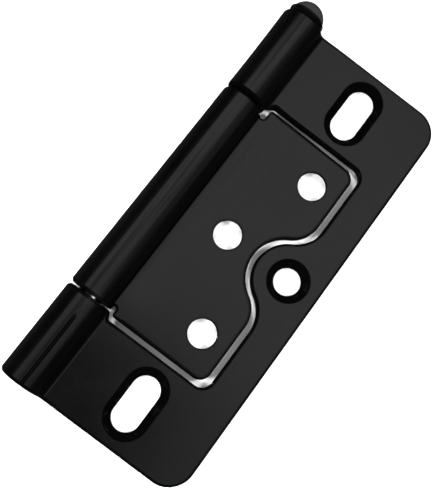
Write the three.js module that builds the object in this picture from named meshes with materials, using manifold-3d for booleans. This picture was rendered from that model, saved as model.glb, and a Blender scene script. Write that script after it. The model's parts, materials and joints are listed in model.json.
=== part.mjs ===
// A flush (non-mortise) door hinge: two stamped leaves curled round one headed pin.
// Closed, the inner leaf nests in the window of the outer leaf and both are one sheet thick.
//
// Frame, in millimetres: +Y runs along the pin to its head, +X from the pin to the free edge,
// +Z up, with the outer leaf's countersinks facing up. The origin is under the middle of the
// closed hinge's box, on the surface that it lies on.

import * as THREE from 'three';
import { mergeVertices } from 'three/addons/utils/BufferGeometryUtils.js';
import Module from 'manifold-3d';

const wasm = await Module();
wasm.setup();

// ---------------------------------------------------------------- driving dimensions

const SHEET = 2.0; // thickness of both leaves
const LENGTH = 89; // outer leaf, along the pin
const WIDTH = 35; // pin axis to the outer leaf's free edge
const CORNER = 5.3; // radius of the outer leaf's two free corners

const BARREL_R = 4.6; // outside of a knuckle
const BORE_R = BARREL_R - SHEET;
const ROOT_FILLET = 0.8; // hollow where a leaf turns up into its knuckle
const CURL_END = -16; // degrees below the leaf's plane where the curled sheet stops

const WINDOW_X = 28.0; // the outer leaf's window
const WINDOW_Y = 26.25;
const LEAF_X = 26.75; // the inner leaf inside it
const LEAF_Y = 25.2;
const INSIDE_CORNER = 2.4; // corner radius of the window and of the inner leaf

const JOINT_SHIFT = -0.37; // the middle knuckle sits this far off the leaf's middle
const JOINT_Y = 24.28; // middle of each gap between knuckles, from the shifted middle
const JOINT_GAP = 0.35; // gap between two knuckles
const UPPER_STEP_X = [3.4, 5.85]; // where the upper knuckle's end slants off to the window's edge
const LOWER_STEP_X = [4.75, 5.5];

const TAB_X = 28.1; // the rounded tab that points into the window at half its length
const TAB_R = 7.2;
const BAY_X = 27.7; // the bay in the inner leaf that clears the tab
const BAY_R = 7.9;
const SWEEP = 60; // degrees of the tab and the bay on each side, before they turn back

const NOTCH_X = [3.9, 5.5]; // relief notch at each root of the middle knuckle
const NOTCH_DEPTH = 1.0; // measured from the end of the knuckle
const NOTCH_R = 0.6;

const SCREW_R = 2.8; // screw holes of the inner leaf, and half the width of the slots
const CENTRE_SCREW_R = 2.7; // the round hole in the tab
const SINK_EXTRA = 1.5; // how much wider a countersink is than its hole, in radius
const SINK_DEPTH = 1.5;
const SLOT = { x: 18.95, y: 35.3, halfStraight: 2.9 };
const CENTRE_SCREW_X = 28.2;
const OUTER_SCREW = { x: 20.95, y: 17.85 };
const MIDDLE_SCREW_X = 13.55;

const PIN_R = 2.5;
const PIN_END_INSET = 0.5; // the pin's tail stops this far inside the bottom knuckle
const HEAD_R = 4.0;
const HEAD_GAP = 0.3;
const HEAD_RIM = 1.25; // height of the head's straight rim
const HEAD_STEP = 0.35; // the dome's foot stands back this far from the rim
const HEAD_DOME = 2.95; // height of the dome above the rim
const HEAD_EDGE = 0.25; // rounding under and over the rim

const ARC_STEP = 6; // degrees between points on an arc
const OVERCUT = 2; // how far cutting tools run past the sheet

// ---------------------------------------------------------------- small helpers

const rad = THREE.MathUtils.degToRad;

// Points on an arc about (cx, cy), from one angle to another in degrees.
function arc(cx, cy, r, from, to) {
  const steps = Math.max(2, Math.ceil(Math.abs(to - from) / ARC_STEP));
  const points = [];
  for (let i = 0; i <= steps; i += 1) {
    const a = rad(from + ((to - from) * i) / steps);
    points.push(new THREE.Vector2(cx + r * Math.cos(a), cy + r * Math.sin(a)));
  }
  return points;
}

// The same points seen in a mirror that runs along X, in the opposite order.
function mirrored(points) {
  return points.map((p) => new THREE.Vector2(p.x, -p.y)).reverse();
}

function toManifold(geometry) {
  const bare = geometry.index ? geometry.toNonIndexed() : geometry.clone();
  bare.deleteAttribute('normal');
  bare.deleteAttribute('uv');
  const merged = mergeVertices(bare, 1e-5);
  const vertProperties = new Float32Array(merged.attributes.position.array);
  const triVerts = new Uint32Array(merged.index.array);
  return new wasm.Manifold(new wasm.Mesh({ numProp: 3, vertProperties, triVerts }));
}

function toMesh(solid, name, material) {
  const { vertProperties, triVerts } = solid.getMesh();
  const geometry = new THREE.BufferGeometry();
  geometry.setAttribute('position', new THREE.BufferAttribute(vertProperties, 3));
  geometry.setIndex(new THREE.BufferAttribute(triVerts, 1));
  geometry.computeVertexNormals();
  const mesh = new THREE.Mesh(geometry, material);
  mesh.name = name;
  return mesh;
}

// A plan outline as a prism from z = low to z = high.
function prism(outline, low, high) {
  const options = { depth: high - low, bevelEnabled: false };
  const geometry = new THREE.ExtrudeGeometry(new THREE.Shape(outline), options);
  geometry.translate(0, 0, low);
  return toManifold(geometry);
}

// A section drawn in X and Z, run along Y from low to high.
function alongPin(section, low, high) {
  const options = { depth: high - low, bevelEnabled: false };
  const geometry = new THREE.ExtrudeGeometry(new THREE.Shape(section), options);
  geometry.rotateX(Math.PI / 2);
  geometry.translate(0, high, 0);
  return toManifold(geometry);
}

// A round-ended slot outline of radius r; a plain circle when half is 0.
function slotOutline(x, y, r, half) {
  if (half === 0) return arc(x, y, r, 0, 360).slice(1);
  return [...arc(x, y + half, r, 0, 180), ...arc(x, y - half, r, 180, 360)];
}

// ---------------------------------------------------------------- the sheet and its curl
// Both leaves share one section. z = 0 is the pin axis and the middle of the sheet. The sheet
// turns up out of its plane, goes over the pin and comes back under it, and its end stops just
// short of the leaf's underside.

function curledSection(reach) {
  const half = SHEET / 2;
  const middleR = BARREL_R - half;
  const bendR = ROOT_FILLET + half;
  const bendX = Math.sqrt(middleR * middleR + 2 * middleR * bendR);
  const joinAngle = THREE.MathUtils.radToDeg(Math.atan2(bendR, bendX));
  const turnFrom = 180 + joinAngle;
  const top = arc(bendX, bendR, ROOT_FILLET, 270, turnFrom);
  const outside = arc(0, 0, BARREL_R, joinAngle, 360 + CURL_END);
  const inside = arc(0, 0, BORE_R, 360 + CURL_END, joinAngle);
  const under = arc(bendX, bendR, bendR + half, turnFrom, 270);
  return [
    new THREE.Vector2(reach, -half),
    new THREE.Vector2(reach, half),
    ...top,
    ...outside.slice(1),
    ...inside,
    ...under.slice(1),
  ];
}

// A countersunk hole or slot: open at z = -SHEET/2, its cone widening to the face at +SHEET/2.
function countersunkHole(x, y, r, half) {
  const face = SHEET / 2;
  const through = prism(slotOutline(x, y, r, half), -face - OVERCUT, face + OVERCUT);
  return through.add(sink(x, y, r, half));
}

// The cone, or the round-ended trough of a slot, that takes the screw's head.
function sink(x, y, r, half) {
  const face = SHEET / 2;
  const rise = SINK_DEPTH + OVERCUT;
  const spread = (SINK_EXTRA * rise) / SINK_DEPTH;
  const low = slotOutline(x, y, r, half);
  const high = slotOutline(x, y, r + spread, half);
  const bottom = face - SINK_DEPTH;
  const positions = [];
  const push = (p, z) => positions.push(p.x, p.y, z);
  const count = low.length;
  for (let i = 0; i < count; i += 1) {
    const j = (i + 1) % count;
    push(low[i], bottom);
    push(low[j], bottom);
    push(high[j], bottom + rise);
    push(low[i], bottom);
    push(high[j], bottom + rise);
    push(high[i], bottom + rise);
  }
  for (let i = 1; i < count - 1; i += 1) {
    push(low[0], bottom);
    push(low[i + 1], bottom);
    push(low[i], bottom);
    push(high[0], bottom + rise);
    push(high[i], bottom + rise);
    push(high[i + 1], bottom + rise);
  }
  const geometry = new THREE.BufferGeometry();
  geometry.setAttribute('position', new THREE.Float32BufferAttribute(positions, 3));
  return toManifold(geometry);
}

// ---------------------------------------------------------------- plan outlines

// The upper half of an edge that runs down to a round tab or bay about (cx, 0): a straight run
// at x = edge, a turn, then the arc of radius r. From high y to y = 0.
function sCurve(edge, cx, r) {
  const cos = Math.cos(rad(SWEEP));
  const turnR = (r * cos - (cx - edge)) / (1 - cos);
  const turnX = edge - turnR;
  const turnY = (r + turnR) * Math.sin(rad(SWEEP));
  return [...arc(turnX, turnY, turnR, 0, -SWEEP), ...arc(cx, 0, r, 180 - SWEEP, 180).slice(1)];
}

// The opening in the outer leaf: the window, and the middle of the curl that it runs into.
function windowOutline() {
  const sCurved = sCurve(WINDOW_X, TAB_X, TAB_R);
  const corner = arc(WINDOW_X - INSIDE_CORNER, WINDOW_Y - INSIDE_CORNER, INSIDE_CORNER, 90, 0);
  const past = -BARREL_R - OVERCUT;
  const step = (knuckleEnd, [from, to]) => [
    new THREE.Vector2(past, knuckleEnd),
    new THREE.Vector2(from, knuckleEnd),
    new THREE.Vector2(to, WINDOW_Y),
  ];
  const knuckle = JOINT_Y + JOINT_GAP / 2;
  const upperStep = step(knuckle + JOINT_SHIFT, UPPER_STEP_X);
  const lowerStep = step(knuckle - JOINT_SHIFT, LOWER_STEP_X);
  const upper = [...upperStep, ...corner, ...sCurved];
  const lower = [...lowerStep, ...corner, ...sCurved.slice(0, -1)];
  return [...upper, ...mirrored(lower)];
}

// The inner leaf with its knuckle tab, its two relief notches and the bay.
function innerOutline() {
  const sCurved = sCurve(LEAF_X, BAY_X, BAY_R);
  const corner = arc(LEAF_X - INSIDE_CORNER, LEAF_Y - INSIDE_CORNER, INSIDE_CORNER, 90, 0);
  const knuckle = JOINT_Y - JOINT_GAP / 2;
  const past = -BARREL_R - OVERCUT;
  const [left, right] = NOTCH_X;
  const side = (sign) => {
    const y = knuckle + sign * JOINT_SHIFT;
    const floor = y - NOTCH_DEPTH;
    return [
      new THREE.Vector2(past, y),
      new THREE.Vector2(left - NOTCH_R * 0.6, y),
      new THREE.Vector2(left, y - NOTCH_R * 0.5),
      ...arc(left + NOTCH_R, floor + NOTCH_R, NOTCH_R, 180, 270).slice(1),
      ...arc(right - NOTCH_R, floor + NOTCH_R, NOTCH_R, 270, 360).slice(1),
      new THREE.Vector2(right, LEAF_Y - NOTCH_R),
      ...arc(right + NOTCH_R, LEAF_Y - NOTCH_R, NOTCH_R, 180, 90).slice(1),
    ];
  };
  const upper = [...side(1), ...corner, ...sCurved];
  const lower = [...side(-1), ...corner, ...sCurved.slice(0, -1)];
  return [...upper, ...mirrored(lower)];
}

// The outer leaf's rectangle with its two free corners rounded.
function outerOutline() {
  const past = -BARREL_R - OVERCUT;
  const upper = [
    new THREE.Vector2(past, LENGTH / 2),
    ...arc(WIDTH - CORNER, LENGTH / 2 - CORNER, CORNER, 90, 0),
  ];
  return [...upper, ...mirrored(upper)];
}

// ---------------------------------------------------------------- the three pieces

const tall = BARREL_R + OVERCUT;

function outerLeaf() {
  let leaf = alongPin(curledSection(WIDTH + OVERCUT), -LENGTH / 2 - OVERCUT, LENGTH / 2 + OVERCUT);
  leaf = leaf.intersect(prism(outerOutline(), -tall, tall));
  leaf = leaf.subtract(prism(windowOutline(), -tall, tall));
  leaf = leaf.subtract(countersunkHole(CENTRE_SCREW_X, 0, CENTRE_SCREW_R, 0));
  for (const y of [SLOT.y, -SLOT.y]) {
    leaf = leaf.subtract(countersunkHole(SLOT.x, y, SCREW_R, SLOT.halfStraight));
  }
  return leaf;
}

// Drawn with its countersinks up, as the hinge lies fully open, and reaching towards +X.
// Turned over about X and not mirrored, it nests in the window with its countersinks down.
function innerLeaf() {
  const outline = mirrored(innerOutline());
  let leaf = alongPin(curledSection(LEAF_X + OVERCUT), -LENGTH / 2, LENGTH / 2);
  leaf = leaf.intersect(prism(outline, -tall, tall));
  leaf = leaf.subtract(countersunkHole(MIDDLE_SCREW_X, 0, SCREW_R, 0));
  for (const y of [OUTER_SCREW.y, -OUTER_SCREW.y]) {
    leaf = leaf.subtract(countersunkHole(OUTER_SCREW.x, y, SCREW_R, 0));
  }
  return leaf;
}

// Headed pin, turned about its own axis. Profile points are radius and height along the pin.
function pinGeometry() {
  const tail = -LENGTH / 2 + PIN_END_INSET;
  const seat = LENGTH / 2 + HEAD_GAP;
  const rimTop = seat + HEAD_RIM;
  const footR = HEAD_R - HEAD_STEP;
  const domeR = (footR * footR + HEAD_DOME * HEAD_DOME) / (2 * HEAD_DOME);
  const domeFrom = THREE.MathUtils.radToDeg(Math.acos(footR / domeR));
  const dome = arc(0, rimTop + HEAD_DOME - domeR, domeR, domeFrom, 90).slice(0, -1);
  const profile = [
    new THREE.Vector2(0, tail),
    new THREE.Vector2(PIN_R - HEAD_EDGE, tail),
    new THREE.Vector2(PIN_R, tail + HEAD_EDGE),
    new THREE.Vector2(PIN_R, seat),
    new THREE.Vector2(HEAD_R - HEAD_EDGE, seat),
    new THREE.Vector2(HEAD_R, seat + HEAD_EDGE),
    new THREE.Vector2(HEAD_R, rimTop - HEAD_EDGE),
    new THREE.Vector2(HEAD_R - HEAD_EDGE, rimTop),
    ...dome,
    new THREE.Vector2(0, rimTop + HEAD_DOME),
  ];
  return new THREE.LatheGeometry(profile, 48);
}

const blackCoat = new THREE.MeshStandardMaterial({ color: 0x1d1e20, roughness: 0.5, metalness: 0.3 });
const pinSteel = new THREE.MeshStandardMaterial({ color: 0x6d6f72, roughness: 0.35, metalness: 0.9 });

const outer = toMesh(outerLeaf(), 'outer_leaf', blackCoat);

const inner = toMesh(innerLeaf(), 'inner_leaf', blackCoat.clone());
inner.rotation.x = Math.PI;

const pin = new THREE.Mesh(pinGeometry(), pinSteel);
pin.name = 'hinge_pin';

const hinge = new THREE.Group();
hinge.add(outer, inner, pin);

// The pin axis lies this far from the origin.
const headTop = LENGTH / 2 + HEAD_GAP + HEAD_RIM + HEAD_DOME;
hinge.position.set(-(WIDTH - BARREL_R) / 2, -(headTop - LENGTH / 2) / 2, BARREL_R);

export default hinge;
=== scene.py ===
"""A black flush door hinge: two stamped leaves curled round one dome-headed pin.

Each leaf is drawn as the flat blank it is stamped from, with rounded edges and countersinks, and
then rolled up along the section that the CAD part has. Lengths are millimetres until a mesh is made.
"""

import json
import math

import bpy
from mathutils import Matrix, Vector
from mathutils.geometry import delaunay_2d_cdt


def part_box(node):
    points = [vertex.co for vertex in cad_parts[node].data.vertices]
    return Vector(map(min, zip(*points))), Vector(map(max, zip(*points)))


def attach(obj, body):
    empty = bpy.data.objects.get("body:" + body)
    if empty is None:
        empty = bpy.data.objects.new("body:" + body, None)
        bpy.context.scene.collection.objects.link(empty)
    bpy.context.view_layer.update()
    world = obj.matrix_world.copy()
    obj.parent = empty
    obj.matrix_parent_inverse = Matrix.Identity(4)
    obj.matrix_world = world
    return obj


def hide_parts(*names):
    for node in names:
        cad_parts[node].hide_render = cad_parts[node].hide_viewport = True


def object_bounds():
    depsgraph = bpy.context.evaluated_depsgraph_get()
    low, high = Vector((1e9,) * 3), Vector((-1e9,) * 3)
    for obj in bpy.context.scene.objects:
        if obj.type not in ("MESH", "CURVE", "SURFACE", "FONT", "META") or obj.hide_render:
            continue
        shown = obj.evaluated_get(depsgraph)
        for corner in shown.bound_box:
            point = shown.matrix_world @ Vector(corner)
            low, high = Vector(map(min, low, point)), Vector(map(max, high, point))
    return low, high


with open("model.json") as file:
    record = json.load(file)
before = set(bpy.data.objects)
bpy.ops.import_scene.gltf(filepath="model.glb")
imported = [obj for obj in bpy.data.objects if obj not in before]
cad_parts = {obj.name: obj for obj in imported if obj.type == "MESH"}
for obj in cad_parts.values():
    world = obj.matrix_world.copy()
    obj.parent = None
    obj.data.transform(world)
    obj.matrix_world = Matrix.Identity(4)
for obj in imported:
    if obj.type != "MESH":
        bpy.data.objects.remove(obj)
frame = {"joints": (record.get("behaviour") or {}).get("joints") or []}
cad_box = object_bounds()

MM = 0.001

# ---------------------------------------------------------------- driving dimensions

AXIS = Vector(frame["joints"][0]["pos_m"]) / MM
OUTER_LOW, OUTER_HIGH = [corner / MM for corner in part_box("outer_leaf")]
PIN_LOW, PIN_HIGH = [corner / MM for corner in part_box("hinge_pin")]

LENGTH = OUTER_HIGH.y - OUTER_LOW.y  # outer leaf, along the pin
WIDTH = OUTER_HIGH.x - AXIS.x  # pin axis to the outer leaf's free edge
BARREL_R = AXIS.z - OUTER_LOW.z
ORIGIN = Vector((AXIS.x, (OUTER_LOW.y + OUTER_HIGH.y) / 2, AXIS.z))  # middle of the pin axis

SHEET = 2.0
CORNER = 5.3
ROOT_FILLET = 0.8
CURL_END = math.radians(-16)

WINDOW_X = 28.0
WINDOW_Y = 26.25
LEAF_X = 26.75
LEAF_TOP = (25.3, 24.95)  # the inner leaf's upper edge, at the pin and at its free end
LEAF_BOTTOM = 25.32
INSIDE_CORNER = 2.4

JOINT_SHIFT = -0.37
JOINT_Y = 24.28
JOINT_GAP = 0.35
UPPER_STEP_X = (3.4, 5.85)
LOWER_STEP_X = (4.75, 5.5)

TAB_X = 28.1
TAB_R = 7.2
BAY_X = 27.7
BAY_R = 7.9
SWEEP = math.radians(60)

NOTCH_LEFT = 3.9
NOTCH_RIGHT = 5.5
NOTCH_DEPTH = 1.0
NOTCH_R = 0.6
NOTCH_ROOT_R = 0.5
STEP_R = 0.8
LOWER_STEP_R = 0.5

SCREW_R = 2.8
CENTRE_SCREW_R = 2.7
SINK_EXTRA = 1.5
SINK_DEPTH = 1.5
SLOT_X = 18.95
SLOT_Y = 35.3
SLOT_HALF_STRAIGHT = 2.9
CENTRE_SCREW_X = 28.2
OUTER_SCREW_X = 20.95
OUTER_SCREW_Y = 17.85
MIDDLE_SCREW_X = 13.55

PIN_R = 2.5
PIN_END_R = 0.35  # rounding of the lower end
HEAD_R = 4.0
HEAD_GAP = 0.3
HEAD_RIM = 1.25
HEAD_STEP = 0.38  # the dome's foot is this far inside the rim
HEAD_FOOT = 0.1  # height of the foot above the rim
FOOT_IN = 0.03  # how far the foot is cut in under the dome
HEAD_SEAT_R = 3.2  # the rim is cut under towards the knuckle
HEAD_EDGE = 0.25  # rounding of the rim
HEAD_RISE = 0.15  # the dome is this much taller than the CAD part's

# Finish of the real pieces that the CAD solids leave out.
# How a stamped edge rolls over: its width, its depth, and the power that it falls away with.
OUTER_ROLL = (0.55, 0.35, 2)
INNER_ROLL = (1.0, 0.16, 3)
KNUCKLE_ROLL = (0.7, 0.5, 1.6)
ROOT_ROLL = (0.5, 0.3, 2)
BURR_ROLL = (0.1, 0.08, 2)  # the same edge's other side
ROLL_STEPS = (1, 0.85, 0.7, 0.55, 0.4, 0.25, 0.12, 0)  # shares of the width
SINK_STEPS = (0.07, 0.35, 0.65, 0.93)  # shares of a countersink's slope
WALL_STEP = 0.05  # from the foot of a roll to the top of the plain wall
CHANGE_FROM = 1.0  # past the bend, a leaf's edge changes from one roll to another from here
CHANGE_OVER = 3.0
SINK_LIP = 0.25  # rounding where a countersink meets the face
HOLE_LIP = 0.3  # rounding where a hole meets the plain face
CURL_CORNER = 0.8  # corners of the curled tabs
FLARE_FROM = 26.0  # the upper knuckle grows from here to its end
FLARE = 0.28
FLARE_FADE = 2.0  # the growth sets in over this much of the curl
HEAD_SHIFT = -0.45  # the pin's head sits this far off its axis, along X
GLINT_PATCH_ANGLE = 22  # where a painted highlight, a near-white patch, lies on the pin inside the lower joint
GLINT_PATCH_SPREAD = 12
GLINT_PATCH_Y = -24.65
GLINT_PATCH_LENGTH = 3

CHORD = 0.3  # longest edge on an arc and between two rows of a knuckle
LONG_CHORD = 1.5  # longest edge on a straight run
EDGE_STEPS = 3  # faces round a hole's lip
SPANS = 8  # faces along a knuckle
PIN_SPANS = 12  # faces along the pin
AROUND = 96  # faces round the pin
SAME_POINT = 1e-4
LEVEL = 1e-6  # the largest rise of an edge that counts as level

HALF = SHEET / 2
MIDDLE_R = BARREL_R - HALF
BEND_R = ROOT_FILLET + HALF
BEND_X = math.sqrt(MIDDLE_R * MIDDLE_R + 2 * MIDDLE_R * BEND_R)
JOIN = math.atan2(BEND_R, BEND_X)
JOIN_S = BEND_X - BEND_R * (math.pi / 2 - JOIN)
CURL_S = JOIN_S - MIDDLE_R * (2 * math.pi + CURL_END - JOIN)


# ---------------------------------------------------------------- the rolled sheet
# A blank lies in s (away from the pin) and y (along it); w is the height over its middle.

def sheet_at(s):
    """Middle of the sheet at s, and the direction of its upper side, both as (x, z)."""
    if s >= BEND_X:
        return (s, 0.0), (0.0, 1.0)
    if s >= JOIN_S:
        turn = (BEND_X - s) / BEND_R
        up = (math.sin(turn), math.cos(turn))
        return (BEND_X - BEND_R * up[0], BEND_R - BEND_R * up[1]), up
    angle = JOIN + (JOIN_S - s) / MIDDLE_R
    up = (math.cos(angle), math.sin(angle))
    return (MIDDLE_R * up[0], MIDDLE_R * up[1]), up


def s_at_angle(degrees):
    """Where on the blank a point of the barrel lies, by its angle about the pin from +X."""
    return JOIN_S - MIDDLE_R * (math.radians(degrees) - JOIN)


# ---------------------------------------------------------------- outlines
# Every outline runs with the metal on its left.

def arc(cx, cy, r, start, end):
    steps = max(3, math.ceil(abs(end - start) * r / CHORD))
    angles = [start + (end - start) * i / steps for i in range(steps + 1)]
    return [(cx + r * math.cos(a), cy + r * math.sin(a)) for a in angles]


def rounded(corners):
    """A closed outline through (x, y, radius) corners; a radius of 0 leaves the corner as it is."""
    points = []
    for i, (x, y, r) in enumerate(corners):
        if r == 0:
            points.append((x, y))
            continue
        here = Vector((x, y))
        back = (Vector(corners[i - 1][:2]) - here).normalized()
        ahead = (Vector(corners[(i + 1) % len(corners)][:2]) - here).normalized()
        half = back.angle(ahead) / 2
        centre = here + (back + ahead).normalized() * (r / math.sin(half))
        first = here + back * (r / math.tan(half)) - centre
        last = here + ahead * (r / math.tan(half)) - centre
        start = math.atan2(first.y, first.x)
        turn = (math.atan2(last.y, last.x) - start + math.pi) % (2 * math.pi) - math.pi
        points += arc(centre.x, centre.y, r, start, start + turn)
    return points


def round_tab(edge, cx, r):
    """The wavy stretch of an edge that runs down past a tab or bay of radius r about (cx, 0)."""
    turn_r = (r * math.cos(SWEEP) - (cx - edge)) / (1 - math.cos(SWEEP))
    turn_x = edge - turn_r
    turn_y = (r + turn_r) * math.sin(SWEEP)
    upper = arc(turn_x, turn_y, turn_r, 0, -SWEEP)
    upper += arc(cx, 0, r, math.pi - SWEEP, math.pi)[1:]
    lower = [(x, -y) for x, y in reversed(upper[:-1])]
    return [(x, y, 0) for x, y in upper + lower]


def outer_outline():
    """The outer leaf's blank: its outside, both curled tabs and the window between them."""
    upper = JOINT_Y + JOINT_GAP / 2 + JOINT_SHIFT
    lower = JOINT_Y + JOINT_GAP / 2 - JOINT_SHIFT
    end = LENGTH / 2
    return rounded([
        (CURL_S, -end, CURL_CORNER),
        (WIDTH, -end, CORNER),
        (WIDTH, end, CORNER),
        (CURL_S, end, CURL_CORNER),
        (CURL_S, upper, CURL_CORNER),
        (UPPER_STEP_X[0], upper, STEP_R),
        (UPPER_STEP_X[1], WINDOW_Y, STEP_R),
        (WINDOW_X, WINDOW_Y, INSIDE_CORNER),
        *round_tab(WINDOW_X, TAB_X, TAB_R),
        (WINDOW_X, -WINDOW_Y, INSIDE_CORNER),
        (LOWER_STEP_X[1], -WINDOW_Y, LOWER_STEP_R),
        (LOWER_STEP_X[0], -lower, STEP_R),
        (CURL_S, -lower, CURL_CORNER),
    ])


def inner_outline():
    """The inner leaf's blank as it is seen in the closed hinge."""
    upper = JOINT_Y - JOINT_GAP / 2 + JOINT_SHIFT
    lower = JOINT_Y - JOINT_GAP / 2 - JOINT_SHIFT
    return rounded([
        (CURL_S, -lower, CURL_CORNER),
        (NOTCH_LEFT, -lower, NOTCH_R),
        (NOTCH_LEFT, NOTCH_DEPTH - lower, NOTCH_ROOT_R),
        (NOTCH_RIGHT, NOTCH_DEPTH - lower, NOTCH_R),
        (NOTCH_RIGHT, -LEAF_BOTTOM, NOTCH_R),
        (LEAF_X, -LEAF_BOTTOM, INSIDE_CORNER),
        *reversed(round_tab(LEAF_X, BAY_X, BAY_R)),
        (LEAF_X, LEAF_TOP[1], INSIDE_CORNER),
        (NOTCH_RIGHT, LEAF_TOP[0], NOTCH_R),
        (NOTCH_RIGHT, upper - NOTCH_DEPTH, NOTCH_R),
        (NOTCH_LEFT, upper - NOTCH_DEPTH, NOTCH_ROOT_R),
        (NOTCH_LEFT, upper, NOTCH_R),
        (CURL_S, upper, CURL_CORNER),
    ])


def hole_outline(x, y, r, half_straight):
    """A screw hole, or a round-ended slot when half_straight isn't 0."""
    top = arc(x, y + half_straight, r, math.pi, 0)
    bottom = arc(x, y - half_straight, r, 0, -math.pi)
    return top + bottom


def without_repeats(points):
    kept = []
    for p in points:
        if not kept or (Vector(p) - Vector(kept[-1])).length > SAME_POINT:
            kept.append(p)
    if (Vector(kept[0]) - Vector(kept[-1])).length < SAME_POINT:
        kept.pop()
    return kept


def divided(points, rows):
    """The outline with its straight runs cut at every knuckle row, and at LONG_CHORD elsewhere."""
    out = []
    for i, p in enumerate(points):
        q = points[(i + 1) % len(points)]
        a, b = Vector(p), Vector(q)
        out.append(p)
        if (b - a).length < CHORD * 1.5:
            continue
        cuts = set()
        if abs(b.y - a.y) < LEVEL:
            cuts |= {(s - a.x) / (b.x - a.x) for s in rows}
        pieces = math.ceil((b - a).length / LONG_CHORD)
        if not any(0.01 < t < 0.99 for t in cuts):
            cuts |= {k / pieces for k in range(1, pieces)}
        elif max(a.x, b.x) > BEND_X:
            start = max(rows) + LONG_CHORD
            far = max(a.x, b.x)
            count = max(1, math.ceil((far - start) / LONG_CHORD))
            cuts |= {(start + (far - start) * k / count - a.x) / (b.x - a.x) for k in range(count)}
        out += [tuple(a.lerp(b, t)) for t in sorted(cuts) if 0.004 < t < 0.996]
    return out


def miters(points):
    """For each point, the step into the metal that moves both of its edges in by 1 mm."""
    steps = []
    for i, p in enumerate(points):
        here = Vector(p)
        a = (here - Vector(points[i - 1])).normalized()
        b = (Vector(points[(i + 1) % len(points)]) - here).normalized()
        left = Vector((-a.y - b.y, a.x + b.x)).normalized()
        steps.append(left / max(0.5, left.dot(Vector((-a.y, a.x)))))
    return steps


# ---------------------------------------------------------------- sections through an edge
# A section runs from the upper face to the lower one. Each row is the distance into the metal,
# the height, and the normal as its part out of the metal and its part up.

def smooth(t):
    """0 up to t = 0, 1 from t = 1, and a smooth rise between them."""
    t = min(1.0, max(0.0, t))
    return t * t * (3 - 2 * t)


def mixed(a, b, share):
    return [x + (y - x) * share for x, y in zip(a, b)]


def below(rows):
    """The same rows on the sheet's lower side, from the wall back to the face."""
    return [(d, -w, out, -up) for d, w, out, up in reversed(rows)]


def roll_rows(width, drop, power):
    """From the face down to the wall; the last row is the top of the wall."""
    rows = []
    for share in ROLL_STEPS:
        slope = power * drop / width * (1 - share) ** (power - 1)
        length = math.hypot(slope, 1)
        rows.append((width * share, HALF - drop * (1 - share) ** power, slope / length, 1 / length))
    rows.append((0, HALF - drop - WALL_STEP, 1, 0))
    return rows


def past_bend(s):
    """0 on the knuckle and its root, 1 on the flat of the leaf."""
    return smooth((s - BEND_X - CHANGE_FROM) / CHANGE_OVER)


def outer_section(s):
    share = past_bend(s)
    return roll_rows(*mixed(KNUCKLE_ROLL, OUTER_ROLL, share)) + below(roll_rows(*BURR_ROLL))


def inner_section(s):
    """The inner leaf nests face down, so its leaf is rolled below and its knuckle above."""
    leaf_side = smooth(s - JOIN_S)
    upper = roll_rows(*mixed(KNUCKLE_ROLL, BURR_ROLL, leaf_side))
    lower = mixed(BURR_ROLL, ROOT_ROLL, leaf_side)
    return upper + below(roll_rows(*mixed(lower, INNER_ROLL, past_bend(s))))


def lip(radius):
    """A quarter round from the face down to the wall."""
    rows = []
    for i in range(EDGE_STEPS + 1):
        a = math.pi / 2 * i / EDGE_STEPS
        out, up = math.sin(a), math.cos(a)
        rows.append((radius * (1 - out), HALF - radius * (1 - up), out, up))
    return rows


def sink_section(_):
    """A countersink with softened edges above, and the plain side's lip below."""
    slope = math.atan2(SINK_EXTRA, SINK_DEPTH)
    out, up = math.cos(slope), math.sin(slope)
    lip_d = SINK_EXTRA + SINK_LIP * 0.2
    lip_w = HALF - SINK_LIP * 0.25
    rows = [(SINK_EXTRA + SINK_LIP, HALF, 0, 1)]
    rows.append((lip_d, lip_w, math.sin(slope / 2), math.cos(slope / 2)))
    for share in SINK_STEPS:
        rows.append((SINK_EXTRA * (1 - share), HALF - SINK_DEPTH * share, out, up))
    rows.append((0, HALF - SINK_DEPTH - SINK_LIP, 1, 0))
    return rows + below(lip(HOLE_LIP))


# ---------------------------------------------------------------- marks left by the rolling

class Groove:
    """A lengthwise groove on the outside of a knuckle, at an angle about the pin from +X."""

    def __init__(self, degrees, y_from, y_to, width, depth, fade):
        self.s = s_at_angle(degrees)
        self.y_from, self.y_to = y_from, y_to
        self.width, self.depth, self.fade = width, depth, fade

    def rows(self):
        """Where the knuckle needs extra rows for the groove to show."""
        return [self.s + self.width * k / 4 for k in range(-10, 11)]

    def along(self, y):
        """How much of the groove is left at y; it fades out at both ends."""
        rise = (y - self.y_from) / self.fade
        fall = (self.y_to - y) / self.fade
        return smooth(min(rise, fall))

    def at(self, s, y):
        """Depth at a point, and how fast it changes with s."""
        t = (s - self.s) / self.width
        depth = self.depth * self.along(y) * math.exp(-t * t)
        return depth, -2 * t / self.width * depth


# ---------------------------------------------------------------- building one leaf

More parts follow.
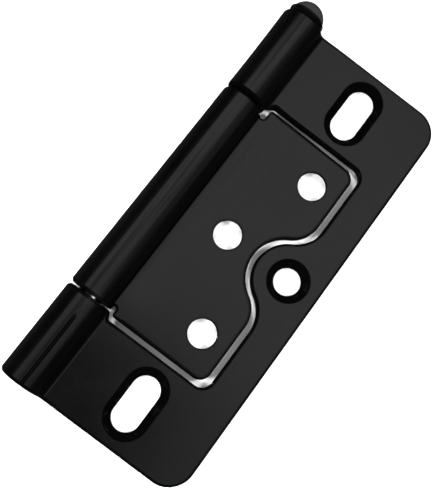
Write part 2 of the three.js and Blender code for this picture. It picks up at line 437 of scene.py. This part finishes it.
class Leaf:
    """The mesh of one leaf: the skin of every edge, and the two faces of the sheet between them."""

    def __init__(self, outline, holes, section, grooves, flare):
        self.grooves, self.flare = grooves, flare
        self.verts, self.normals, self.faces = [], [], []
        self.edge, self.rolled = [], []  # how far over an edge, and whether on the knuckle
        self.rows = self.knuckle_rows()
        loops = [(divided(without_repeats(outline), self.rows), section)]
        for hole in holes:
            loops.append((without_repeats(hole), sink_section))
        top, bottom = [], []
        for points, loop_section in loops:
            first, last = self.wall(points, loop_section)
            top.append(first)
            bottom.append(last)
        self.cover(top, HALF, 1)
        self.cover(bottom, -HALF, -1)

    def knuckle_rows(self):
        """The places along the blank where the curl gets a row of points."""
        first = CURL_S + CURL_CORNER + 0.02
        count = math.ceil((BEND_X - first) / CHORD)
        rows = [first + (BEND_X - first) * i / count for i in range(count + 1)]
        for groove in self.grooves:
            extra = groove.rows()
            rows = [s for s in rows if not extra[0] - 0.05 < s < extra[-1] + 0.05] + extra
        return sorted(rows)

    def vertex(self, s, y, w, along_s, along_y, up, edge):
        """Adds the rolled-up point, with its normal given on the flat blank."""
        (cx, cz), (nx, nz) = sheet_at(s)
        for groove in self.grooves:
            depth, slope = groove.at(s, y)
            share = (w + HALF) / SHEET
            w -= depth * share
            along_s += slope * share * max(0.0, up)
        share = max(0.0, y - FLARE_FROM) / (LENGTH / 2 - FLARE_FROM)
        swell = self.flare * share * share * smooth((JOIN_S - s) / FLARE_FADE) * min(1.0, 1 + nz)
        w += swell * (w + HALF) / SHEET
        place = Vector((cx + w * nx, y, cz + w * nz))
        normal = Vector((along_s * nz + up * nx, along_y, -along_s * nx + up * nz)).normalized()
        self.verts.append(place)
        self.normals.append(normal)
        self.edge.append(edge)
        self.rolled.append(min(1.0, max(0.0, BEND_X - s)))
        return len(self.verts) - 1

    def wall(self, points, section):
        """The skin of one edge, from face to face. Returns its first and last rings."""
        steps = miters(points)
        sections = [section(s) for s, _ in points]
        rings = []
        for k in range(len(sections[0])):
            ring = []
            for (s, y), step, rows in zip(points, steps, sections):
                d, w, out, up = rows[k]
                away = -step.normalized() * out
                at = (s + step.x * d, y + step.y * d)
                index = self.vertex(at[0], at[1], w, away.x, away.y, up, 2 * out * abs(up))
                ring.append((at, index))
            rings.append(ring)
        count = len(points)
        for ring, following in zip(rings, rings[1:]):
            for j in range(count):
                k = (j + 1) % count
                self.faces.append((ring[j][1], following[j][1], following[k][1], ring[k][1]))
        return rings[0], rings[-1]

    def cover(self, rings, w, up):
        """One face of the sheet, between its outline and its holes."""
        flat, index, links = [], [], []
        for ring in rings:
            start = len(flat)
            flat += [Vector(at) for at, _ in ring]
            index += [i for _, i in ring]
            links += [(start + j, start + (j + 1) % len(ring)) for j in range(len(ring))]
        by_row = {}
        for j, (at, _) in enumerate(rings[0]):
            if at[0] < BEND_X + 0.01:
                by_row.setdefault(round(at[0], 4), []).append((at[1], j))
        for s in self.rows:
            ends = sorted(by_row.get(round(s, 4), []))
            for (y0, a), (y1, b) in zip(ends[::2], ends[1::2]):
                chain = [a]
                for k in range(1, SPANS):
                    flat.append(Vector((s, y0 + (y1 - y0) * k / SPANS)))
                    index.append(None)
                    chain.append(len(flat) - 1)
                chain.append(b)
                links += list(zip(chain, chain[1:]))
        outlines = [[at for at, _ in ring] for ring in rings]
        found, _, tris, source, _, _ = delaunay_2d_cdt(flat, links, [], 0, 1e-5)
        final = []
        for place, origins in zip(found, source):
            known = [index[o] for o in origins if index[o] is not None]
            if known:
                final.append(known[0])
            else:
                final.append(self.vertex(place.x, place.y, w, 0, 0, up, 0.0))
        for tri in tris:
            middle = sum((found[v] for v in tri), Vector((0, 0))) / 3
            if not inside_outline(middle, outlines[0]):
                continue
            if any(inside_outline(middle, hole) for hole in outlines[1:]):
                continue
            a, b, c = (found[v] for v in tri)
            clockwise = (b - a).cross(c - a) < 0
            corners = [final[v] for v in tri]
            if clockwise != (up < 0):
                corners.reverse()
            self.faces.append(tuple(corners))


def inside_outline(p, outline):
    """Whether a point lies inside, by counting the edges that it would cross."""
    inside = False
    x0, y0 = outline[-1]
    for x1, y1 in outline:
        if (y0 > p.y) != (y1 > p.y) and p.x < x0 + (p.y - y0) * (x1 - x0) / (y1 - y0):
            inside = not inside
        x0, y0 = x1, y1
    return inside


def add_object(name, verts, normals, faces, materials, face_materials=None, marks=None):
    """A mesh object from points in millimetres about the middle of the pin axis."""
    mesh = bpy.data.meshes.new(name)
    mesh.from_pydata([(v + ORIGIN) * MM for v in verts], [], faces)
    mesh.validate()
    for key, values in (marks or {}).items():
        mesh.attributes.new(key, "FLOAT", "POINT").data.foreach_set("value", values)
    mesh.polygons.foreach_set("use_smooth", [True] * len(mesh.polygons))
    for material in materials:
        mesh.materials.append(material)
    if face_materials:
        mesh.polygons.foreach_set("material_index", face_materials)
    mesh.normals_split_custom_set_from_vertices(normals)
    mesh.update()
    obj = bpy.data.objects.new(name, mesh)
    bpy.context.scene.collection.objects.link(obj)
    return obj


def leaf_object(name, leaf, turned_over, material):
    if turned_over:
        turn = Matrix.Rotation(math.pi, 3, "X")
        leaf.verts = [turn @ v for v in leaf.verts]
        leaf.normals = [turn @ n for n in leaf.normals]
    marks = {"edge": leaf.edge, "rolled": leaf.rolled}
    return add_object(name, leaf.verts, leaf.normals, leaf.faces, [material], marks=marks)


def make_outer_leaf(material):
    """Its bottom knuckle has one deep rolling mark."""
    holes = [hole_outline(CENTRE_SCREW_X, 0, CENTRE_SCREW_R, 0)]
    for y in (SLOT_Y, -SLOT_Y):
        holes.append(hole_outline(SLOT_X, y, SCREW_R, SLOT_HALF_STRAIGHT))
    mark = Groove(83, y_from=-LENGTH / 2 - 3, y_to=-28.0, width=0.2, depth=0.45, fade=1.5)
    leaf = Leaf(outer_outline(), holes, outer_section, [mark], FLARE)
    return leaf_object("outer_leaf_body", leaf, False, material)


def make_inner_leaf(material):
    """Rolled with its countersinks up like the outer leaf, then turned over to nest in it."""
    outline = [(s, -y) for s, y in reversed(inner_outline())]
    holes = [hole_outline(MIDDLE_SCREW_X, 0, SCREW_R, 0)]
    for y in (OUTER_SCREW_Y, -OUTER_SCREW_Y):
        holes.append(hole_outline(OUTER_SCREW_X, y, SCREW_R, 0))
    mark = Groove(270, y_from=-6, y_to=26, width=0.3, depth=0.06, fade=8.0)
    leaf = Leaf(outline, holes, inner_section, [mark], 0)
    return leaf_object("inner_leaf_body", leaf, True, material)


# ---------------------------------------------------------------- the pin

SHANK, RIM, DOME = range(3)  # the pin's finishes
CREASE = 0.02  # breadth of the crease between two of them


def pin_profile():
    """Rows of radius, place along the pin, normal outwards, normal along, and which finish."""
    tail = PIN_LOW.y - ORIGIN.y
    seat = LENGTH / 2 + HEAD_GAP
    top = PIN_HIGH.y - ORIGIN.y + HEAD_RISE
    rows = [(0.0, tail, 0, -1, SHANK)]

    def round_edge(cx, cy, r, start, end, finish, steps=5):
        for i in range(steps + 1):
            a = math.radians(start + (end - start) * i / steps)
            rows.append((cx + r * math.cos(a), cy + r * math.sin(a), math.cos(a), math.sin(a), finish))

    straight = tail + PIN_END_R
    round_edge(PIN_R - PIN_END_R, straight, PIN_END_R, -90, 0, SHANK)
    for i in range(1, PIN_SPANS):
        rows.append((PIN_R, straight + (seat - straight) * i / PIN_SPANS, 1, 0, SHANK))
    rows.append((PIN_R, seat - CREASE, 1, 0, SHANK))
    rows.append((PIN_R + CREASE, seat, 0, -1, RIM))
    shoulder = seat + HEAD_RIM
    under = -math.degrees(math.atan2(HEAD_R - HEAD_SEAT_R, HEAD_RIM))
    round_edge(HEAD_SEAT_R - HEAD_EDGE, seat + HEAD_EDGE, HEAD_EDGE, -90, under, RIM)
    round_edge(HEAD_R - HEAD_EDGE, shoulder - HEAD_EDGE, HEAD_EDGE, under, 80, RIM, steps=8)
    foot_r = HEAD_R - HEAD_STEP
    foot_y = shoulder + HEAD_FOOT
    rows.append((foot_r - FOOT_IN, shoulder + CREASE / 2, 0.4, 0.9, RIM))
    rows.append((foot_r - FOOT_IN, foot_y - CREASE, 0.98, -0.1, DOME))
    rise = top - foot_y
    dome_r = (foot_r * foot_r + rise * rise) / (2 * rise)
    start = math.degrees(math.acos(foot_r / dome_r))
    round_edge(0, top - dome_r, dome_r, start, 90, DOME, steps=22)
    return rows


def painted_glint_share(angle, y):
    """How much of the painted highlight patch covers the pin, by its angle from the top towards the
    leaf and place along it.
    """
    across = (math.degrees(angle) - GLINT_PATCH_ANGLE) / GLINT_PATCH_SPREAD
    along = (y - GLINT_PATCH_Y) / GLINT_PATCH_LENGTH
    return math.exp(-across * across - along * along)


def make_pin(finishes):
    """The pin; its finishes are the shank's, which carries a near-white patch of painted highlight,
    the rim's, and the dome's, whose lighter grey is painted sheen.
    """
    rows = pin_profile()
    verts, normals, faces, kinds, glint_patch = [], [], [], [], []
    for r, y, out, along, finish in rows[:-1]:
        ring = 1 if r == 0 else AROUND
        shift = 0 if finish == SHANK else HEAD_SHIFT
        for j in range(ring):
            a = 2 * math.pi * j / AROUND
            verts.append(Vector((shift + r * math.cos(a), y, r * math.sin(a))))
            normals.append(Vector((out * math.cos(a), along, out * math.sin(a))).normalized())
            # painted highlight: where the pin's glint shows, a near-white patch goes into its colour
            glint_patch.append(painted_glint_share(math.pi / 2 - a if a < math.pi * 1.5 else math.pi * 2.5 - a, y))
    verts.append(Vector((HEAD_SHIFT, rows[-1][1], 0)))
    normals.append(Vector((0, 1, 0)))
    glint_patch.append(0.0)
    last = len(verts) - 1
    for j in range(AROUND):
        k = (j + 1) % AROUND
        faces.append((0, 1 + j, 1 + k))
        kinds.append(SHANK)
        for i in range(len(rows) - 3):
            low, high = 1 + i * AROUND, 1 + (i + 1) * AROUND
            faces.append((low + j, high + j, high + k, low + k))
            kinds.append(rows[i + 1][4])
        top = 1 + (len(rows) - 3) * AROUND
        faces.append((top + j, last, top + k))
        kinds.append(DOME)
    return add_object("hinge_pin_body", verts, normals, faces, finishes, kinds, {"glint_patch": glint_patch})


# ---------------------------------------------------------------- materials

MOST_NOISE = (0.3, 0.7)  # nearly all of a noise lies between these
COAT_GLOSS = 0.5  # the coat's specular level
STREAK_DULL = 0.22  # how much of it a streak takes away
EDGE_DULL = 0.45  # how much a rolled edge takes away
LEAST_GLOSS = 0.03
LEAF_BLACK, LEAF_WORN = 0.0007, 0.003
RIM_WORN = 0.01
# the dome's grey is lighter than the rim's black of the same coat: painted sheen for the light the
# dome catches
DOME_PAINTED_SHEEN_GREY, DOME_WORN = 0.022, 0.04
STEEL_DARK, STEEL_LIGHT = 0.02, 0.05
# colour of the painted highlight patch on the pin
GLINT_PATCH_WHITE = (0.95, 0.94, 0.92)


def grey(level):
    return (level, level, level)


def new_material(name):
    material = bpy.data.materials.new(name)
    material.use_nodes = True
    nodes, links = material.node_tree.nodes, material.node_tree.links
    return material, nodes, links, nodes["Principled BSDF"]


def noise(nodes, links, source, scale, detail, stretch=(1, 1, 1)):
    """Noise with features about 1/scale metres across, stretched by the given factors."""
    mapping = nodes.new("ShaderNodeMapping")
    mapping.inputs["Scale"].default_value = [1 / f for f in stretch]
    texture = nodes.new("ShaderNodeTexNoise")
    texture.inputs["Scale"].default_value = scale
    texture.inputs["Detail"].default_value = detail
    links.new(source, mapping.inputs["Vector"])
    links.new(mapping.outputs["Vector"], texture.inputs["Vector"])
    return texture.outputs["Fac"]


def ranged(nodes, links, value, low, high, to_low, to_high):
    remap = nodes.new("ShaderNodeMapRange")
    remap.inputs["From Min"].default_value = low
    remap.inputs["From Max"].default_value = high
    remap.inputs["To Min"].default_value = to_low
    remap.inputs["To Max"].default_value = to_high
    links.new(value, remap.inputs["Value"])
    return remap.outputs["Result"]


def math_node(nodes, links, operation, a, b):
    node = nodes.new("ShaderNodeMath")
    node.operation = operation
    for socket, value in zip(node.inputs, (a, b)):
        if isinstance(value, (int, float)):
            socket.default_value = value
        else:
            links.new(value, socket)
    return node.outputs[0]


def bump(nodes, links, height, distance, strength, base=None):
    node = nodes.new("ShaderNodeBump")
    node.inputs["Distance"].default_value = distance
    node.inputs["Strength"].default_value = strength
    links.new(height, node.inputs["Height"])
    if base is not None:
        links.new(base, node.inputs["Normal"])
    return node.outputs["Normal"]


def mixed_colour(nodes, links, factor, a, b):
    """A blend of two colours, each a triple or another node's output."""
    node = nodes.new("ShaderNodeMix")
    node.data_type = "RGBA"
    links.new(factor, node.inputs["Factor"])
    for socket, colour in ((node.inputs[6], a), (node.inputs[7], b)):
        if isinstance(colour, tuple):
            socket.default_value = (*colour, 1)
        else:
            links.new(colour, socket)
    return node.outputs[2]


def attribute(nodes, name):
    node = nodes.new("ShaderNodeAttribute")
    node.attribute_name = name
    return node.outputs["Fac"]


def black_coat(name, roughness, base, worn):
    """Black coat on steel: fine grain, duller streaks along the knuckles, dull rolled edges.

    base and worn are grey levels: the coat's own, or on the dome a lighter grey that is painted sheen,
    and that of the spots rubbed on its edges.
    """
    material, nodes, links, shader = new_material(name)
    place = nodes.new("ShaderNodeTexCoord").outputs["Object"]
    grain = noise(nodes, links, place, 2600, 3)
    patches = noise(nodes, links, place, 90, 4)
    streaks = noise(nodes, links, place, 1500, 3, (1, 60, 1))
    edge = attribute(nodes, "edge")
    rolled = attribute(nodes, "rolled")

    rough = ranged(nodes, links, patches, *MOST_NOISE, roughness - 0.03, roughness + 0.04)
    fine = ranged(nodes, links, grain, *MOST_NOISE, -0.02, 0.02)
    rough = math_node(nodes, links, "ADD", rough, fine)
    links.new(rough, shader.inputs["Roughness"])

    rub = ranged(nodes, links, noise(nodes, links, place, 700, 4), 0.58, 0.72, 0, 1)
    rub = math_node(nodes, links, "MULTIPLY", rub, ranged(nodes, links, edge, 0.55, 1, 0, 1))
    mottle = ranged(nodes, links, patches, *MOST_NOISE, 0, 1)
    shade = mixed_colour(nodes, links, mottle, grey(base * 0.75), grey(base))
    links.new(mixed_colour(nodes, links, rub, shade, grey(worn)), shader.inputs["Base Color"])

    drawn = math_node(nodes, links, "MULTIPLY", streaks, rolled)
    normal = bump(nodes, links, drawn, 0.00005, 0.6)
    normal = bump(nodes, links, grain, 0.00001, 0.35, normal)
    links.new(normal, shader.inputs["Normal"])

    dull = ranged(nodes, links, streaks, 0.47, 0.62, 0, STREAK_DULL)
    dull = math_node(nodes, links, "MULTIPLY", dull, rolled)
    dull = math_node(nodes, links, "ADD", dull, ranged(nodes, links, edge, 0.05, 0.5, 0, EDGE_DULL))
    gloss = math_node(nodes, links, "SUBTRACT", COAT_GLOSS, dull)
    gloss = math_node(nodes, links, "MAXIMUM", gloss, LEAST_GLOSS)
    links.new(gloss, shader.inputs["Specular IOR Level"])
    return material


def pin_steel():
    """Drawn steel wire, dark with oil and oxide, with fine lines along it, and a near-white patch that
    is a painted highlight where its glint shows.
    """
    material, nodes, links, shader = new_material("pin_steel")
    place = nodes.new("ShaderNodeTexCoord").outputs["Object"]
    lines = noise(nodes, links, place, 4000, 2, (1, 40, 1))
    smudge = noise(nodes, links, place, 300, 3)
    links.new(ranged(nodes, links, smudge, *MOST_NOISE, 0.22, 0.36), shader.inputs["Roughness"])
    tone = ranged(nodes, links, smudge, *MOST_NOISE, 0, 1)
    dark = mixed_colour(nodes, links, tone, grey(STEEL_DARK), grey(STEEL_LIGHT))
    glint_patch = attribute(nodes, "glint_patch")
    # painted highlight: near-white diffuse colour, and less metallic, where the pin's glint shows
    links.new(mixed_colour(nodes, links, glint_patch, dark, GLINT_PATCH_WHITE), shader.inputs["Base Color"])
    links.new(ranged(nodes, links, glint_patch, 0.1, 0.8, 1, 0.2), shader.inputs["Metallic"])
    links.new(bump(nodes, links, lines, 0.00001, 0.4), shader.inputs["Normal"])
    return material


# ---------------------------------------------------------------- the studio

CAMERA = Vector((13.47, -27.66, 149.65))  # millimetres from the middle of the pin axis
CAMERA_AHEAD = Vector((0.02413, 0.20554, -0.97835))
CAMERA_RIGHT = Vector((0.79523, 0.58911, 0.14337))
LENS = 58.26
LENS_SHIFT = (-0.0771, -0.0251)

FLOOR_HALF = 4.0  # metres
PALE = 0.9  # the floor and the room
GLOSS_FLOOR = 0.02  # the floor as the coat's gloss sees it
GLOSS_FLOOR_LIFT = 0.00002
GLOSS_HIGH = 0.004  # what the coat's gloss sees overhead, beside the soft box
GLOSS_SIDE = 0.015  # towards the horizon
GLOSS_LOW = 0.015  # under the floor's edge
GLOSS_HEIGHTS = (0.44, 0.52, 0.75)  # places of low, side and high, from 0 below to 1 above
GLOSS_ENDS = 0.1  # the foot of the walls beyond the pin's two ends

# Soft boxes overhead: from and to along X, from and to along Y, all in metres, and the radiance.
SOFT_BOXES = {
    "soft_box": (-0.61, 0.24, -0.02, 0.41, 0.74),
    "soft_box_wing": (0.24, 0.48, -0.02, 0.41, 0.38),
    "soft_box_end": (0.48, 1.10, -0.02, 0.41, 0.17),
    "left_strip": (-0.61, -0.12, -0.25, -0.02, 0.48),
    "right_strip": (0.06, 0.65, -0.25, -0.02, 0.48),
}
SOFT_BOX_HEIGHT = 0.6

# Four small lamps round the camera, and the radiance of each by its side along X and along Y.
LAMP_RADIANCE = {(-1, -1): 200, (-1, 1): 100, (1, -1): 80, (1, 1): 140}
LAMP_SPREAD = 42  # millimetres from the camera, along X and along Y
LAMP_SIZE = 0.02
GLINT_AT = Vector((0.9, GLINT_PATCH_Y, 2.3))  # the painted highlight patch on the pin
GLINT_CONE = math.radians(0.65)
GLINT_WATTS = 14.0


def floor_sheet(name, height, level):
    corners = [(-FLOOR_HALF, -FLOOR_HALF, height), (FLOOR_HALF, -FLOOR_HALF, height)]
    corners += [(FLOOR_HALF, FLOOR_HALF, height), (-FLOOR_HALF, FLOOR_HALF, height)]
    mesh = bpy.data.meshes.new(name)
    mesh.from_pydata(corners, [], [(0, 1, 2, 3)])
    material, _, _, shader = new_material(name + "_paper")
    shader.inputs["Base Color"].default_value = (*grey(level), 1)
    shader.inputs["Roughness"].default_value = 0.9
    shader.inputs["Specular IOR Level"].default_value = 0.1
    mesh.materials.append(material)
    sheet = bpy.data.objects.new(name, mesh)
    bpy.context.scene.collection.objects.link(sheet)
    return sheet


def make_floor():
    """White paper; the coat's gloss sees it as a darker sheet, with the hinge's shadows on it."""
    floor = floor_sheet("floor", 0, PALE)
    floor.visible_glossy = False
    seen_in_gloss = floor_sheet("floor_in_gloss", GLOSS_FLOOR_LIFT, GLOSS_FLOOR)
    seen_in_gloss.visible_camera = False
    seen_in_gloss.visible_diffuse = False
    seen_in_gloss.visible_shadow = False
    seen_in_gloss.visible_transmission = False


def make_world():
    """A pale room, which shows darker in the coat's gloss so that the soft box stands out."""
    world = bpy.data.worlds.new("room")
    world.use_nodes = True
    nodes, links = world.node_tree.nodes, world.node_tree.links
    background = nodes["Background"]
    height = nodes.new("ShaderNodeSeparateXYZ")
    links.new(nodes.new("ShaderNodeTexCoord").outputs["Generated"], height.inputs[0])
    ramp = nodes.new("ShaderNodeValToRGB")
    stops = ramp.color_ramp.elements
    stops[0].position, stops[1].position = GLOSS_HEIGHTS[0], GLOSS_HEIGHTS[2]
    stops[0].color = (*grey(GLOSS_LOW), 1)
    stops[1].color = (*grey(GLOSS_HIGH), 1)
    horizon = stops.new(GLOSS_HEIGHTS[1])
    horizon.color = (*grey(GLOSS_SIDE), 1)
    links.new(ranged(nodes, links, height.outputs["Z"], -1, 1, 0, 1), ramp.inputs["Fac"])
    along = math_node(nodes, links, "ABSOLUTE", height.outputs["Y"], 0)
    ends = ranged(nodes, links, along, 0.5, 0.8, 0, GLOSS_ENDS)
    foot = ranged(nodes, links, height.outputs["Z"], 0.7, 0.55, 0, 1)
    ends = math_node(nodes, links, "MULTIPLY", ends, foot)
    gloss = math_node(nodes, links, "ADD", ramp.outputs["Color"], ends)
    glossy_ray = nodes.new("ShaderNodeLightPath").outputs["Is Glossy Ray"]
    colour = mixed_colour(nodes, links, glossy_ray, grey(PALE), gloss)
    links.new(colour, background.inputs["Color"])
    bpy.context.scene.world = world


def area_light(name, place, target, size_x, size_y, radiance):
    """An area light whose power follows from the radiance wanted over its size."""
    light = bpy.data.lights.new(name, "AREA")
    light.shape = "RECTANGLE"
    light.size, light.size_y = size_x, size_y
    light.energy = radiance * math.pi * size_x * size_y
    obj = bpy.data.objects.new(name, light)
    obj.location = place
    obj.rotation_euler = (Vector(target) - Vector(place)).to_track_quat("-Z", "Y").to_euler()
    bpy.context.scene.collection.objects.link(obj)
    obj.visible_camera = False
    return obj


def glint_light():
    """A narrow beam down the lower joint, which lights the painted highlight patch on the pin."""
    light = bpy.data.lights.new("glint", "SPOT")
    light.energy = GLINT_WATTS
    light.spot_size = GLINT_CONE
    light.spot_blend = 0.5
    light.shadow_soft_size = 0.001
    obj = bpy.data.objects.new("glint", light)
    place = Vector((CAMERA.x, GLINT_AT.y, CAMERA.z))
    obj.location = (place + ORIGIN) * MM
    obj.rotation_euler = (GLINT_AT - place).to_track_quat("-Z", "Y").to_euler()
    obj.visible_glossy = False
    bpy.context.scene.collection.objects.link(obj)


def make_camera():
    """The photograph's view: close over the lower end, turned so that the pin runs up and right."""
    camera = bpy.data.cameras.new("camera")
    camera.lens = LENS
    camera.sensor_width = 36
    camera.clip_start = 0.01
    camera.shift_x, camera.shift_y = LENS_SHIFT
    obj = bpy.data.objects.new("camera", camera)
    obj.location = (CAMERA + ORIGIN) * MM
    back = -CAMERA_AHEAD.normalized()
    right = (CAMERA_RIGHT - back * CAMERA_RIGHT.dot(back)).normalized()
    obj.rotation_euler = Matrix((right, back.cross(right), back)).transposed().to_euler()
    bpy.context.scene.collection.objects.link(obj)
    bpy.context.scene.camera = obj


make_camera()
make_floor()
make_world()
centre = (cad_box[0] + cad_box[1]) / 2
for name, (x_from, x_to, y_from, y_to, radiance) in SOFT_BOXES.items():
    middle = ((x_from + x_to) / 2, (y_from + y_to) / 2)
    over = (*middle, SOFT_BOX_HEIGHT)
    area_light(name, over, (*middle, 0), x_to - x_from, y_to - y_from, radiance)
for (across, up), radiance in LAMP_RADIANCE.items():
    place = (CAMERA + ORIGIN + Vector((across, up, 0)) * LAMP_SPREAD) * MM
    lamp = area_light("lamp", place, centre, LAMP_SIZE, LAMP_SIZE, radiance)
    lamp.visible_glossy = False
glint_light()
bpy.context.scene.view_settings.view_transform = "Standard"

coat = black_coat("leaf_coat", 0.21, LEAF_BLACK, LEAF_WORN)
rim_coat = black_coat("rim_coat", 0.24, LEAF_BLACK, RIM_WORN)
# the dome gets a lighter grey than the rim of the same black coat: painted sheen
dome_painted_sheen_coat = black_coat("dome_painted_sheen_coat", 0.3, DOME_PAINTED_SHEEN_GREY, DOME_WORN)
steel = pin_steel()

outer = make_outer_leaf(coat)
inner = make_inner_leaf(coat)
pin = make_pin([steel, rim_coat, dome_painted_sheen_coat])
for piece, body, node, slot in (
    (outer, "frame_side", "outer_leaf", "leaf_coat"),
    (inner, "door_side", "inner_leaf", "leaf_coat"),
    (pin, "frame_side", "hinge_pin", "pin_finish"),
):
    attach(piece, body)
    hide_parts(node)
